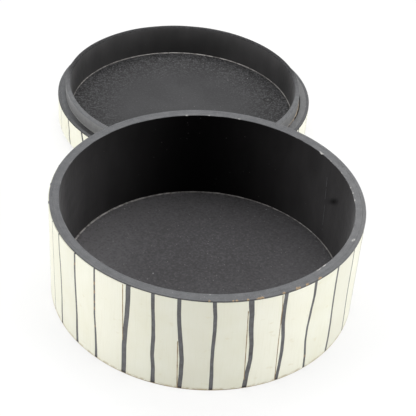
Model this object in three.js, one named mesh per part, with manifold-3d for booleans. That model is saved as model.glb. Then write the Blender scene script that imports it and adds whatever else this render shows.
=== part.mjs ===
// Round trinket box clad in bone strips, with its lid lying upside down behind it.
// Units are millimetres and +Z is up. The origin is the middle of the box's underside.
import * as THREE from 'three';
import { mergeVertices } from 'three/addons/utils/BufferGeometryUtils.js';
import Module from 'manifold-3d';

// Box
const OUTER_RADIUS = 70;
const BOX_HEIGHT = 50;
const WALL_THICKNESS = 3;
const FLOOR_THICKNESS = 3.5;

// Lid
const LID_HEIGHT = 17.3;
const LID_BOARD_THICKNESS = 5;
const LID_TOP_BONE_THICKNESS = 1.9;
const SHOULDER_RADIUS = 2.8;
const COLLAR_RISE = 7.1;
const COLLAR_THICKNESS = 2.7;
const LID_REBATE_DEPTH = 1.5;

// Bone cladding and the black resin between its strips
const BONE_THICKNESS = 1.6;
const BAND_HEIGHT = 0.7;
const FOOT_BAND_HEIGHT = 0.3;
const TOP_CIRCLE_WIDTH = 1.2;
const GROOVE_DEPTH = 0.9;
const STRIP_COUNT = 32;
const TOP_STRIP_COUNT = 10;

// Fits
const GLUE_LINE = 0.2;
const RING_FIT = 0.3;
const EDGE_BREAK = 0.4;

// Where the lid lies: beside the box, as far to its left as this, with a small gap between the two
const LID_LEFT_SHIFT = 18.3;
const LID_STAND_OFF = 0.6;

// Strips and the cuts between them: the usual width of a strip and of a cut, how far a cut's top
// leans sideways, how far its middle bows out and how much it ripples
const STRIP_WIDTH = 14;
const CUT_WIDTH = 1.4;
const CUT_WIDTH_SPREAD = 0.25;
const CUT_LEAN_SPREAD = 1.3;
const CUT_BOW_SPREAD = 0.8;
const CUT_RIPPLE = 0.15;

// The cuts that face the front, from left to right. Each has shares of the sizes above: of the
// strip to its left, of the cut's width, of its lean to the right and of its bow to the right.
const FIRST_CUT_ANGLE = THREE.MathUtils.degToRad(-158.3);
const FRONT_CUTS = [
  { strip: 0, width: 0.93, lean: -1.38, bow: 0.25 },
  { strip: 0.7, width: 0.93, lean: -1.23, bow: 1.13 },
  { strip: 1, width: 1, lean: -0.85, bow: 0.25 },
  { strip: 0.93, width: 0.93, lean: -0.46, bow: -0.38 },
  { strip: 1.13, width: 1.21, lean: 1.15, bow: -0.13 },
  { strip: 0.88, width: 0.93, lean: -0.77, bow: 0.13 },
  { strip: 0.81, width: 1.07, lean: -1.38, bow: 0.63 },
  { strip: 0.97, width: 0.93, lean: -0.54, bow: 0.13 },
  { strip: 1.05, width: 1.36, lean: -0.46, bow: 1.25 },
  { strip: 1.03, width: 0.93, lean: -0.54, bow: 0.88 },
  { strip: 1.05, width: 1, lean: 0.15, bow: -1.38 },
  { strip: 1.03, width: 1, lean: -0.77, bow: 0.25 },
  { strip: 1.08, width: 0.93, lean: -1.77, bow: -0.75 },
];

// The lid's cuts: where the first one is, and how far the others stray from even spacing
const LID_CUT_ANGLE = THREE.MathUtils.degToRad(-147);
const LID_CUT_SHIFT = 0.7;

// Half the size of the end of a resin line, inside the resin ring that it joins
const LINE_KEY = 0.3;

// Facets
const RING_SEGMENTS = 64;
const STRIP_COLUMNS = 2;
const BOX_STRIP_ROWS = 5;
const TOP_CUT_STEPS = 8;

// Radii that follow from the sizes above
const boneInnerRadius = OUTER_RADIUS - BONE_THICKNESS;
const coreRadius = boneInnerRadius - GLUE_LINE;
const boreRadius = coreRadius - WALL_THICKNESS;
const collarRadius = boreRadius - RING_FIT;
const collarBoreRadius = collarRadius - COLLAR_THICKNESS;
const boardTop = LID_TOP_BONE_THICKNESS + LID_BOARD_THICKNESS;
const rebateHeight = boardTop - LID_REBATE_DEPTH;
const shoulderEndRadius = OUTER_RADIUS - SHOULDER_RADIUS;
const circleRadius = shoulderEndRadius - GLUE_LINE;
const circleInnerRadius = circleRadius - TOP_CIRCLE_WIDTH;
const topBoneRadius = circleInnerRadius - GLUE_LINE;

const blackLacquer = { color: 0x1c1b1c, roughness: 0.45, metalness: 0 };
const charcoalPaint = { color: 0x4a494b, roughness: 0.8, metalness: 0 };
const blackResin = { color: 0x3b3c3f, roughness: 0.4, metalness: 0 };
const bone = { color: 0xefeadb, roughness: 0.3, metalness: 0 };

const wasm = await Module();
wasm.setup();

// Solids and geometries

function toSolid(geometry) {
  const plain = geometry.clone();
  plain.deleteAttribute('normal');
  plain.deleteAttribute('uv');
  const merged = mergeVertices(plain);
  return new wasm.Manifold(new wasm.Mesh({
    numProp: 3,
    vertProperties: new Float32Array(merged.attributes.position.array),
    triVerts: new Uint32Array(merged.index.array),
  }));
}

function toGeometry(solid) {
  const mesh = solid.getMesh();
  const geometry = new THREE.BufferGeometry();
  geometry.setAttribute('position', new THREE.BufferAttribute(mesh.vertProperties, 3));
  geometry.setIndex(new THREE.BufferAttribute(mesh.triVerts, 1));
  geometry.computeVertexNormals();
  return geometry;
}

function namedMesh(name, geometry, finish) {
  const mesh = new THREE.Mesh(geometry, new THREE.MeshStandardMaterial(finish));
  mesh.name = name;
  return mesh;
}

// A solid of revolution about Z from [radius, height] corners, given anticlockwise
function revolve(corners) {
  const profile = corners.map(([radius, height]) => new THREE.Vector2(radius, height));
  if (corners[0][0] > 0) profile.push(profile[0].clone());
  return new THREE.LatheGeometry(profile, RING_SEGMENTS).rotateX(Math.PI / 2);
}

// A ring with square edges below and broken edges above
function ring(innerRadius, outerRadius, bottom, top) {
  return revolve([
    [innerRadius, bottom],
    [outerRadius, bottom],
    [outerRadius, top - EDGE_BREAK],
    [outerRadius - EDGE_BREAK, top],
    [innerRadius + EDGE_BREAK, top],
    [innerRadius, top - EDGE_BREAK],
  ]);
}

function squareRing(innerRadius, outerRadius, bottom, top) {
  return revolve([
    [innerRadius, bottom],
    [outerRadius, bottom],
    [outerRadius, top],
    [innerRadius, top],
  ]);
}

function disc(radius, bottom, top) {
  return revolve([[0, bottom], [radius, bottom], [radius, top], [0, top]]);
}

// A slab bent round the Z axis. Its rows climb the section, each with an outer and an inner
// [radius, height] and its share of the climb. Its stations run round, each with the angle of
// its edge at a share of the climb, and how far its face is cut back towards the inner side.
function bentSlab(rows, stations) {
  const geometry = new THREE.BoxGeometry(1, 1, 1, stations.length - 1, rows.length - 1, 1);
  const position = geometry.attributes.position;
  for (let i = 0; i < position.count; i += 1) {
    const row = rows[Math.round((position.getY(i) + 0.5) * (rows.length - 1))];
    const station = stations[Math.round((position.getX(i) + 0.5) * (stations.length - 1))];
    const inward = position.getZ(i) > 0 ? station.cutBack : 1;
    const radius = THREE.MathUtils.lerp(row.outer[0], row.inner[0], inward);
    const height = THREE.MathUtils.lerp(row.outer[1], row.inner[1], inward);
    const angle = station.angle(row.share);
    position.setXYZ(i, radius * Math.cos(angle), radius * Math.sin(angle), height);
  }
  return geometry;
}

// Cuts between the strips

// How far a cut strays sideways at a share of its length: a lean, a bow and a slight ripple
function stray(cut, share) {
  const ripple = CUT_RIPPLE * Math.sin(3 * Math.PI * share + cut.phase);
  return cut.lean * (share - 0.5) + cut.bow * Math.sin(Math.PI * share) + ripple;
}

// The angle of a cut's edge, side -1 for its left and 1 for its right, with a margin beside it
function cutAngle(cut, share, side, margin) {
  return cut.angle + (stray(cut, share) + side * (cut.width / 2 + margin)) / OUTER_RADIUS;
}

// A cut away from the front or on the lid, varied by its number
function variedCut(index, angle) {
  return {
    angle,
    width: CUT_WIDTH + CUT_WIDTH_SPREAD * Math.sin(2.1 * index),
    lean: CUT_LEAN_SPREAD * Math.sin(2.7 * index + 1),
    bow: CUT_BOW_SPREAD * Math.sin(1.9 * index),
    phase: index,
  };
}

function boxCuts() {
  const cuts = [];
  let angle = FIRST_CUT_ANGLE;
  FRONT_CUTS.forEach((front, index) => {
    angle += (STRIP_WIDTH * front.strip) / OUTER_RADIUS;
    cuts.push({
      angle,
      width: CUT_WIDTH * front.width,
      lean: CUT_LEAN_SPREAD * front.lean,
      bow: CUT_BOW_SPREAD * front.bow,
      phase: index,
    });
  });
  const step = (FIRST_CUT_ANGLE + 2 * Math.PI - angle) / (STRIP_COUNT - cuts.length + 1);
  while (cuts.length < STRIP_COUNT) {
    angle += step;
    cuts.push(variedCut(cuts.length, angle));
  }
  return cuts;
}

function lidCuts() {
  const step = (2 * Math.PI) / STRIP_COUNT;
  return Array.from({ length: STRIP_COUNT }, (_, index) => {
    const shift = (LID_CUT_SHIFT / OUTER_RADIUS) * Math.sin(2.3 * index);
    return variedCut(index, LID_CUT_ANGLE + index * step + shift);
  });
}

// The cut after this one, a whole turn further on past the last
function nextCut(cuts, index, steps = 1) {
  const turns = Math.floor((index + steps) / cuts.length);
  const cut = cuts[(index + steps) % cuts.length];
  return { ...cut, angle: cut.angle + turns * 2 * Math.PI };
}

// Stations across one bone strip, from the cut on its left to the cut on its right
function stripStations(left, right) {
  return Array.from({ length: STRIP_COLUMNS + 1 }, (_, column) => ({
    cutBack: 0,
    angle: (share) => THREE.MathUtils.lerp(
      cutAngle(left, share, 1, GLUE_LINE),
      cutAngle(right, share, -1, GLUE_LINE),
      column / STRIP_COLUMNS,
    ),
  }));
}

// Stations across two strips that stay joined behind the groove of the cut between them
function pairStations(left, middle, right) {
  const cutBack = GROOVE_DEPTH / BONE_THICKNESS;
  const wall = GLUE_LINE / 2;
  return [
    ...stripStations(left, middle),
    { cutBack, angle: (share) => cutAngle(middle, share, -1, wall) },
    { cutBack, angle: (share) => cutAngle(middle, share, 1, wall) },
    ...stripStations(middle, right),
  ];
}

function lineStations(cut) {
  return [-1, 1].map((side) => ({
    cutBack: 0,
    angle: (share) => cutAngle(cut, share, side, 0),
  }));
}

// Sections of the cladding

// Rows up the side of the box, between two heights
function boxRows(bottom, top) {
  return Array.from({ length: BOX_STRIP_ROWS + 1 }, (_, index) => {
    const height = THREE.MathUtils.lerp(bottom, top, index / BOX_STRIP_ROWS);
    return {
      outer: [OUTER_RADIUS, height],
      inner: [boneInnerRadius, height],
      share: height / BOX_HEIGHT,
    };
  });
}

// Rows over the lid's rounded shoulder and up its side, from an inner radius to a height
function lidRows(startRadius, top) {
  const bend = SHOULDER_RADIUS * Math.SQRT1_2;
  const middle = (SHOULDER_RADIUS + top) / 2;
  const corners = [
    [startRadius, 0, startRadius, LID_TOP_BONE_THICKNESS],
    [shoulderEndRadius + bend, SHOULDER_RADIUS - bend, boneInnerRadius, LID_TOP_BONE_THICKNESS],
    [OUTER_RADIUS, SHOULDER_RADIUS, boneInnerRadius, SHOULDER_RADIUS],
    [OUTER_RADIUS, middle, boneInnerRadius, middle],
    [OUTER_RADIUS, top, boneInnerRadius, top],
  ];
  return corners.map(([outerRadius, outerHeight, innerRadius, innerHeight]) => ({
    outer: [outerRadius, outerHeight],
    inner: [innerRadius, innerHeight],
    share: outerHeight / LID_HEIGHT,
  }));
}

// A row that ends a resin line inside the ring it runs into, well within the ring's faces
function keyRow(radius, height, radialHalf, heightHalf, share) {
  return {
    outer: [radius + radialHalf, height - heightHalf],
    inner: [radius - radialHalf, height + heightHalf],
    share,
  };
}

// Rows cut back from the inner side, for a line that only fills a groove
function shallowRows(rows) {
  const depth = (GROOVE_DEPTH - GLUE_LINE) / BONE_THICKNESS;
  return rows.map((row) => ({
    ...row,
    inner: row.outer.map((value, axis) => THREE.MathUtils.lerp(value, row.inner[axis], depth)),
  }));
}

// Box

function boxWall() {
  return namedMesh('box_wall', ring(boreRadius, coreRadius, 0, BOX_HEIGHT), blackLacquer);
}

function boxFloor() {
  return namedMesh('box_floor', disc(boreRadius - RING_FIT, 0, FLOOR_THICKNESS), charcoalPaint);
}

function boxStrip(cuts, index) {
  const rows = boxRows(FOOT_BAND_HEIGHT + GLUE_LINE, BOX_HEIGHT - BAND_HEIGHT - GLUE_LINE);
  const stations = stripStations(cuts[index], nextCut(cuts, index));
  const number = String(index + 1).padStart(2, '0');
  return namedMesh(`box_bone_strip_${number}`, bentSlab(rows, stations), bone);
}

function boxResin(cuts) {
  const middle = (boneInnerRadius + OUTER_RADIUS) / 2;
  const lowKey = keyRow(middle, FOOT_BAND_HEIGHT / 2, LINE_KEY, 0, 0);
  const highKey = keyRow(middle, BOX_HEIGHT - BAND_HEIGHT / 2, LINE_KEY, 0, 1);
  const margin = GLUE_LINE / 4;
  const sideRows = boxRows(FOOT_BAND_HEIGHT + margin, BOX_HEIGHT - BAND_HEIGHT - margin);
  const rows = [lowKey, ...sideRows, highKey];
  const bands = [
    squareRing(boneInnerRadius, OUTER_RADIUS, 0, FOOT_BAND_HEIGHT),
    squareRing(boneInnerRadius, OUTER_RADIUS, BOX_HEIGHT - BAND_HEIGHT, BOX_HEIGHT),
  ];
  const lines = cuts.map((cut) => bentSlab(rows, lineStations(cut)));
  const solid = [...bands, ...lines].map(toSolid).reduce((sum, part) => sum.add(part));
  return namedMesh('box_resin_lines', toGeometry(solid), blackResin);
}

function box() {
  const cuts = boxCuts();
  const group = new THREE.Group();
  group.add(boxWall(), boxFloor(), boxResin(cuts));
  cuts.forEach((_, index) => group.add(boxStrip(cuts, index)));
  return group;
}

// Lid, as it lies upside down: its top face is at height 0 and its collar stands up

function lidRing() {
  const geometry = squareRing(collarRadius + RING_FIT, coreRadius, rebateHeight, LID_HEIGHT);
  return namedMesh('lid_ring', geometry, blackLacquer);
}

function lidCollar() {
  const geometry = ring(collarBoreRadius, collarRadius, rebateHeight, LID_HEIGHT + COLLAR_RISE);
  return namedMesh('lid_collar', geometry, blackLacquer);
}

// The lid's board, rebated round its edge for the ring and the collar to stand in
function lidPanel() {
  const fieldRadius = collarBoreRadius - RING_FIT;
  const geometry = revolve([
    [0, LID_TOP_BONE_THICKNESS],
    [coreRadius, LID_TOP_BONE_THICKNESS],
    [coreRadius, rebateHeight],
    [fieldRadius, rebateHeight],
    [fieldRadius, boardTop],
    [0, boardTop],
  ]);
  return namedMesh('lid_panel', geometry, charcoalPaint);
}

function lidEdgePair(cuts, pair) {
  const left = cuts[2 * pair];
  const middle = cuts[2 * pair + 1];
  const right = nextCut(cuts, 2 * pair, 2);
  const rows = lidRows(shoulderEndRadius, LID_HEIGHT - BAND_HEIGHT - GLUE_LINE);
  const geometry = bentSlab(rows, pairStations(left, middle, right));
  const number = String(pair + 1).padStart(2, '0');
  return namedMesh(`lid_edge_bone_${number}`, geometry, bone);
}

// A cut across the lid's top, running from front to back
function topCut(index) {
  const pitch = (2 * topBoneRadius) / TOP_STRIP_COUNT;
  return { ...variedCut(index, 0), offset: pitch * (index - TOP_STRIP_COUNT / 2) };
}

function topCutEdge(cut, side, margin) {
  return Array.from({ length: TOP_CUT_STEPS + 1 }, (_, step) => {
    const share = step / TOP_CUT_STEPS;
    const x = cut.offset + stray(cut, share) + side * (cut.width / 2 + margin);
    return new THREE.Vector2(x, OUTER_RADIUS * (2 * share - 1));
  });
}

// A tall prism between two edges that run from front to back
function prism(leftEdge, rightEdge) {
  const shape = new THREE.Shape([...rightEdge, ...leftEdge.slice().reverse()]);
  const geometry = new THREE.ExtrudeGeometry(shape, { depth: 2 * LID_HEIGHT, bevelEnabled: false });
  return toSolid(geometry.translate(0, 0, -LID_HEIGHT));
}

function cutPrism(cut, margin) {
  return prism(topCutEdge(cut, -1, margin), topCutEdge(cut, 1, margin));
}

// The side of a pair of top strips: along its cut, or past the rim where there is none
function topPairEdge(index, side) {
  if (index > 0 && index < TOP_STRIP_COUNT) return topCutEdge(topCut(index), side, GLUE_LINE);
  return [-OUTER_RADIUS, OUTER_RADIUS].map((y) => new THREE.Vector2(-side * OUTER_RADIUS, y));
}

// Two strips of the top, joined behind the groove between them
function lidTopPair(pair) {
  const outline = prism(topPairEdge(2 * pair, 1), topPairEdge(2 * pair + 2, -1));
  const grooveDepth = toSolid(disc(OUTER_RADIUS, -LID_HEIGHT, GROOVE_DEPTH));
  const groove = cutPrism(topCut(2 * pair + 1), GLUE_LINE).intersect(grooveDepth);
  const solid = toSolid(disc(topBoneRadius, 0, LID_TOP_BONE_THICKNESS))
    .intersect(outline)
    .subtract(groove);
  return namedMesh(`lid_top_bone_${pair + 1}`, toGeometry(solid), bone);
}

function lidSideLine(cut, index) {
  const ringMiddle = (boneInnerRadius + OUTER_RADIUS) / 2;
  const circleMiddle = circleRadius - TOP_CIRCLE_WIDTH / 2;
  const bandBottom = LID_HEIGHT - BAND_HEIGHT;
  const deepRows = lidRows(circleRadius + GLUE_LINE / 4, bandBottom - GLUE_LINE / 4);
  const rows = index % 2 === 0 ? deepRows : shallowRows(deepRows);
  const keyHeight = (GROOVE_DEPTH - GLUE_LINE) / 2;
  const lowKey = keyRow(circleMiddle, keyHeight, 0, LINE_KEY / 2, 0);
  const highKey = keyRow(ringMiddle, LID_HEIGHT - BAND_HEIGHT / 2, LINE_KEY, 0, 1);
  return bentSlab([lowKey, ...rows, highKey], lineStations(cut));
}

function lidTopLine(index) {
  const depth = index % 2 === 0 ? LID_TOP_BONE_THICKNESS : GROOVE_DEPTH - GLUE_LINE;
  const within = toSolid(disc(circleRadius - TOP_CIRCLE_WIDTH / 2, 0, depth));
  return cutPrism(topCut(index), 0).intersect(within);
}

function lidResin(cuts) {
  const parts = [
    toSolid(squareRing(circleInnerRadius, circleRadius, 0, LID_TOP_BONE_THICKNESS)),
    toSolid(squareRing(boneInnerRadius, OUTER_RADIUS, LID_HEIGHT - BAND_HEIGHT, LID_HEIGHT)),
    ...cuts.map((cut, index) => toSolid(lidSideLine(cut, index))),
  ];
  for (let index = 1; index < TOP_STRIP_COUNT; index += 1) parts.push(lidTopLine(index));
  const solid = parts.reduce((sum, part) => sum.add(part));
  return namedMesh('lid_resin_lines', toGeometry(solid), blackResin);
}

function lid() {
  const cuts = lidCuts();
  const group = new THREE.Group();
  group.add(lidRing(), lidCollar(), lidPanel(), lidResin(cuts));
  for (let pair = 0; pair < STRIP_COUNT / 2; pair += 1) group.add(lidEdgePair(cuts, pair));
  for (let pair = 0; pair < TOP_STRIP_COUNT / 2; pair += 1) group.add(lidTopPair(pair));
  const distance = 2 * OUTER_RADIUS + LID_STAND_OFF;
  group.position.set(-LID_LEFT_SHIFT, Math.sqrt(distance ** 2 - LID_LEFT_SHIFT ** 2), 0);
  return group;
}

const trinketBox = new THREE.Group();
trinketBox.add(box(), lid());

export default trinketBox;
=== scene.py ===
"""Looks of a round trinket box clad in bone strips, with its lid lying upside down behind it.

Sizes are in millimetres until they reach a mesh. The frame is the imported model's own: the origin is
under the middle of the box, +Z is up and +Y runs from the box towards the lid.
"""
import math

import bpy
import numpy as np
from mathutils import Matrix, Vector, noise


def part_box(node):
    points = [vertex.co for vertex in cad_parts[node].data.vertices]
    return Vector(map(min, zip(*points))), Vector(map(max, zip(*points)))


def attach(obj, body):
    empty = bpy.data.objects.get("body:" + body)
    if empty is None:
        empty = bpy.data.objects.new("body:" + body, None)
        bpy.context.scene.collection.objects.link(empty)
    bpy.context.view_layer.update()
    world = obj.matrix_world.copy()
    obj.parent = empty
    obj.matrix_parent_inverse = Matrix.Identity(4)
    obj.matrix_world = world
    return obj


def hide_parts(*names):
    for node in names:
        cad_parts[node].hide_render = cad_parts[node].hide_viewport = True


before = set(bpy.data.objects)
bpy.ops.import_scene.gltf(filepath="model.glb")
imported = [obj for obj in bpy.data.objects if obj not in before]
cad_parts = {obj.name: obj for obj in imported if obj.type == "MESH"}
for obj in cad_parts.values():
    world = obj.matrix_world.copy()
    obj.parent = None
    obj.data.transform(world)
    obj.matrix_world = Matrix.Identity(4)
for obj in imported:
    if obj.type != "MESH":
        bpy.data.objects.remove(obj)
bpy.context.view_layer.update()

MM = 0.001


def corners(node):
    """Lowest and highest corner of a CAD node, in millimetres."""
    return [np.array(corner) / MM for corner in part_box(node)]


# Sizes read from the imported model
_, box_high = corners("box_resin_lines")
_, wall_high = corners("box_wall")
_, floor_high = corners("box_floor")
strip_low, strip_high = corners("box_bone_strip_01")
ring_low, ring_high = corners("lid_ring")
collar_low, collar_high = corners("lid_collar")
board_low, board_high = corners("lid_panel")

OUTER_RADIUS = box_high[0]
BOX_HEIGHT = box_high[2]
CORE_RADIUS = wall_high[0]
FLOOR_RADIUS = floor_high[0]
FLOOR_TOP = floor_high[2]
LID_CENTRE = (ring_low + ring_high)[:2] / 2
LID_HEIGHT = ring_high[2]
RING_FOOT = ring_low[2]
COLLAR_RADIUS = (collar_high[0] - collar_low[0]) / 2
COLLAR_TOP = collar_high[2]
BOARD_TOP = board_high[2]
TOP_BONE = board_low[2]

# Sizes inside those pieces
WALL_THICKNESS = 3
COLLAR_THICKNESS = 2.7
BONE_THICKNESS = 1.6
BONE_BEVEL = 0.06
BAND_HEIGHT = 0.7
FOOT_BAND_HEIGHT = 0.3
SHOULDER_RADIUS = 2.8
CIRCLE_WIDTH = 1.2
PANEL_FIT = 0.3
JOINT = 0.04

BAND_FOOT = BOX_HEIGHT - BAND_HEIGHT
LID_BAND_FOOT = LID_HEIGHT - BAND_HEIGHT
BONE_INNER_RADIUS = OUTER_RADIUS - BONE_THICKNESS
BORE_RADIUS = CORE_RADIUS - WALL_THICKNESS
COLLAR_BORE_RADIUS = COLLAR_RADIUS - COLLAR_THICKNESS
SHOULDER_END = OUTER_RADIUS - SHOULDER_RADIUS
CIRCLE_RADIUS = SHOULDER_END - JOINT
CIRCLE_INNER_RADIUS = CIRCLE_RADIUS - CIRCLE_WIDTH
TOP_BONE_RADIUS = CIRCLE_INNER_RADIUS - JOINT

# The cuts at the front, from left to right: the width and tone of the strip to the cut's left, how
# far the cut strays to the right at even heights from the foot up, and its widths going up
FIRST_CUT_ANGLE = math.radians(-158.02)
FRONT_CUTS = [
    (0, 0, [1.5, 1.1, 0.7, 0.4, 0.1, -0.1, -0.2], [0.6, 0.4, 0.35]),
    (9.8, -0.3, [0.8, 0.8, 1.1, 0.8, 0.3, -0.6, -0.9], [1.2, 0.8, 0.8]),
    (14, -0.5, [0.7, 0.5, 0.6, 0.1, -0.3, -0.6, -0.4], [1.6, 1, 1]),
    (13, 0.6, [0.2, 0.1, -0.2, -0.7, -0.7, -0.7, -0.8], [1.4, 0.8, 0.8]),
    (15.8, 1, [-0.7, -0.7, -0.7, -0.3, 0.3, 0.6, 0.7], [2.2, 2.05, 2.1]),
    (12.3, 0.3, [0.45, 0.45, -0.15, 0, -0.1, -0.6, -0.85], [1.8, 1.6, 1.4]),
    (11.3, -0.45, [0.8, 1.1, 1.05, 0.4, -0.5, -1.15, -1.3], [1.7, 1.8, 1.5]),
    (13.6, -0.9, [0.3, 0.3, -0.1, -0.1, 0, -0.15, -0.95], [1.6, 1.35, 1.55]),
    (14.7, -0.3, [0, 0.5, 1.4, 1.2, 0.3, -0.05, -0.85], [2, 1.7, 2.2]),
    (14.5, 1, [0.3, 0.9, 1.25, 1, 0, -0.15, -0.05], [1.5, 1.5, 1.75]),
    (14.7, 0.9, [0.2, -0.1, -1.1, -1.1, -0.45, 0.35, 0.15], [1, 1, 1.4]),
    (14.5, 0, [0.5, 1, 0.8, 0.3, 0, -0.2, -0.2], [1.3, 1.1, 1.1]),
    (15.1, -1, [1.5, 1.1, 0.1, -0.6, -0.8, -0.7, -1.1], [1, 0.9, 0.8]),
]

# The other cuts vary by their number, and so do the tones of the strips beside them
STRIP_COUNT = 32
TOP_STRIP_COUNT = 10
CUT_WIDTH = 1.4
CUT_WIDTH_SPREAD = 0.25
CUT_LEAN_SPREAD = 1.3
CUT_BOW_SPREAD = 0.8
CUT_RIPPLE = 0.15
# Strips away from the front are toned darker as painted shade, so the side lamps don't wash them out
SIDE_PAINTED_SHADE = -0.45
SIDE_TONE_SPREAD = 0.35
LID_TONE = 0.3
LID_CUT_ANGLE = math.radians(-148.1)
LID_CUT_SHIFT = 0.7

# Leans and widths of the lid's own cuts that face the front, by their number, and their bow
LID_FRONT_CUTS = {31: (0.9, 0.4), 0: (-2.6, 1), 1: (-1.4, 1.3), 12: (-1, 0.4)}
LID_FRONT_BOW = 0.2

# The ring of the lid lies a little to the right of its collar. Filler closes their joint there,
# but for a crack, by degrees round the lid
RING_OFFSET = np.array([0.8, 0.4])
FILLER_START, FILLER_END = -48, 28
FILLER_WIDTH = 0.4
CRACK_START, CRACK_END = -20, 13
CRACK_WIDTH = 0.55
BONE_CENTRE = LID_CENTRE + RING_OFFSET

# Seams round the floor and the lid's board: their thickness, the seed of their unevenness, and
# the share by which they are heavier on one side, by degrees
FLOOR_SEAM = {"thickness": 0.38, "seed": 3, "heavy": 0.5, "heavy_side": 180}
BOARD_SEAM = {"thickness": 0.28, "seed": 8, "heavy": 0.35, "heavy_side": 88}

# Straight hairline joints between strips, beside some cuts: from and to [degrees, height]
HAIRLINES = [
    [(-116.1, 19), (-116.5, 49.2)],
    [(-95.8, 0.4), (-96.5, 27)],
    [(-72.8, 5), (-73.6, 34), (-73.9, 44)],
    [(-61, 1), (-61.5, 25), (-61.6, 42), (-62.1, 49.2)],
]
HAIRLINE_WIDTH = 0.36

# Marks round the rim: chips off its inner edge by their degrees and length, paler scratches by
# their degrees, radius and length, and spots on its outer edge that are worn to the wood
RIM_CHIPS = [(37.6, 1.2), (101.6, 0.7), (-43.4, 0.9), (12.1, 0.7), (30, 0.5), (5, 0.5), (-8, 0.6)]
CHIP_DEPTH = 0.6
RIM_SCRATCHES = [(37.6, 65.5, 1.3), (101.6, 65.3, 0.7), (-43.6, 65.6, 1.2), (-40.6, 65.6, 1),
                 (-21.6, 67.3, 0.6), (-20.8, 67.8, 0.6), (-86.9, 65.8, 0.25), (12.1, 65.4, 0.4),
                 (31.1, 65.2, 0.5), (22.2, 65.2, 0.4), (8.4, 65.5, 0.4), (3.8, 65.4, 0.6),
                 (92, 65.3, 0.4), (79, 65.3, 0.4)]
RIM_SCRATCH_WIDTH = 0.35
WORN_SPOTS = [(-87, 0.5), (-79.3, 0.4), (-78, 0.6), (-74.4, 0.6), (-70, 1.6), (-61.8, 0.7),
              (-56.2, 1.4), (-52.4, 0.9), (-46.7, 1)]

# How far the rims' dark bands stand in from the bone: the box's, most at one side, and the lid's,
# at its back. The foot of the box's band rises with it
RIM_INSET = 0.4
INSET_SIDE = 200
INSET_RISE = 0.5
LID_INSET = 0.3

# Scratches down the inner wall, as [degrees, height] routes, a dark spot beside them, and the
# direction of the back, left unlit: no painted sheen on the wall there, painted shade on the collar
WALL_SCRATCHES = [[(31.7, 40), (31.2, 35), (30.9, 28)], [(30.4, 25), (29.7, 10)]]
WALL_SCRATCH_WIDTH = 0.24
WALL_SPOT = (24.4, 31.6)
WALL_SPOT_LENGTH = 6
WALL_SPOT_WIDTH = 2.6
WALL_SPOT_LEAN = 0.68
UNLIT_SIDE = 96

# Spots on the lines that are worn to the wood, and a pit: degrees, height and length
LINE_WEAR = [(-128.7, 42, 1.2), (-128.7, 37.1, 1), (-128.6, 31.6, 0.8), (-128.5, 27.9, 1),
             (-128.4, 18.2, 0.8), (-150.5, 28, 1.5), (-48.9, 7.3, 1), (-138.8, 44, 0.8)]
LINE_WEAR_WIDTH = 1.2
LINE_PIT = (-71.3, 19.7, 1.2)

# Small flaws in the lid's board: degrees and distance from its centre, and size
RING_FLAW = (17, 51, 2.4)
PALE_FLAW = (53.5, 42.2, 0.5)

# Segments of a turned body, columns of a line's grid, and the angle above which an edge is sharp
SEGMENTS = 384
LINE_COLUMNS = 7
SHARP_ANGLE = math.radians(35)


# Shapes: arrays of points in millimetres, with the faces between them

def turned(profile, segments, centre=(0, 0)):
    """A turned body. Its [radius, height] profile runs anticlockwise, as a closed loop or from
    the axis back to the axis."""
    profile = np.array(profile, float)
    from_axis = profile[0, 0] == 0
    rim = profile[1:-1] if from_axis else profile
    angle = 2 * np.pi * np.arange(segments)[:, None] / segments
    points = polar(rim[:, 0], angle, rim[:, 1], centre).reshape(-1, 3)
    index = np.arange(len(points)).reshape(segments, -1)
    here = np.stack([index, np.roll(index, -1, axis=0)], -1)
    faces = np.concatenate([here, np.roll(here, -1, axis=1)[..., ::-1]], -1)
    if not from_axis:
        return points, faces.reshape(-1, 4).tolist()
    faces = faces[:, :-1].reshape(-1, 4).tolist()
    faces += [[len(points), b, a] for a, b in here[:, 0].tolist()]
    faces += [[len(points) + 1, a, b] for a, b in here[:, -1].tolist()]
    return np.vstack([points, [[*centre, profile[0, 1]], [*centre, profile[-1, 1]]]]), faces


def slab(outer, inner):
    """A closed slab between two grids of points, whose rows run up and whose columns run round."""
    rows, columns = outer.shape[:2]
    o = np.arange(rows * columns).reshape(rows, columns)
    i = o + rows * columns
    quads = [
        (o[:-1, :-1], o[:-1, 1:], o[1:, 1:], o[1:, :-1]),
        (i[:-1, 1:], i[:-1, :-1], i[1:, :-1], i[1:, 1:]),
        (o[0, 1:], o[0, :-1], i[0, :-1], i[0, 1:]),
        (o[-1, :-1], o[-1, 1:], i[-1, 1:], i[-1, :-1]),
        (o[:-1, 0], o[1:, 0], i[1:, 0], i[:-1, 0]),
        (o[1:, -1], o[:-1, -1], i[:-1, -1], i[1:, -1]),
    ]
    faces = np.vstack([np.stack([c.ravel() for c in quad], -1) for quad in quads]).tolist()
    return np.vstack([outer.reshape(-1, 3), inner.reshape(-1, 3)]), faces


def joined(shapes):
    """Several bodies as one shape."""
    points, faces = [], []
    count = 0
    for shape_points, shape_faces in shapes:
        faces += [[count + corner for corner in face] for face in shape_faces]
        points.append(shape_points)
        count += len(shape_points)
    return np.vstack(points), faces


def round_corner(radius, height, reach, start, steps):
    """Points of a rounded corner in a profile, a quarter turn anticlockwise from a start angle."""
    angles = np.radians(start + 90 * np.arange(steps + 1) / steps)
    return [[radius + reach * math.cos(a), height + reach * math.sin(a)] for a in angles]


def polar(radius, angle, height, centre=(0, 0)):
    """A grid of points from grids of radius, angle and height."""
    radius, angle, height = np.broadcast_arrays(radius, angle, height)
    x = centre[0] + radius * np.cos(angle)
    y = centre[1] + radius * np.sin(angle)
    return np.stack([x, y, height], -1)


def ripple(values, seed, size):
    """Smooth noise from -1 to 1 along a list of values."""
    return np.array([noise.noise(Vector((value / size, seed, 0.5))) for value in values])


# Cuts between the strips

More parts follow.
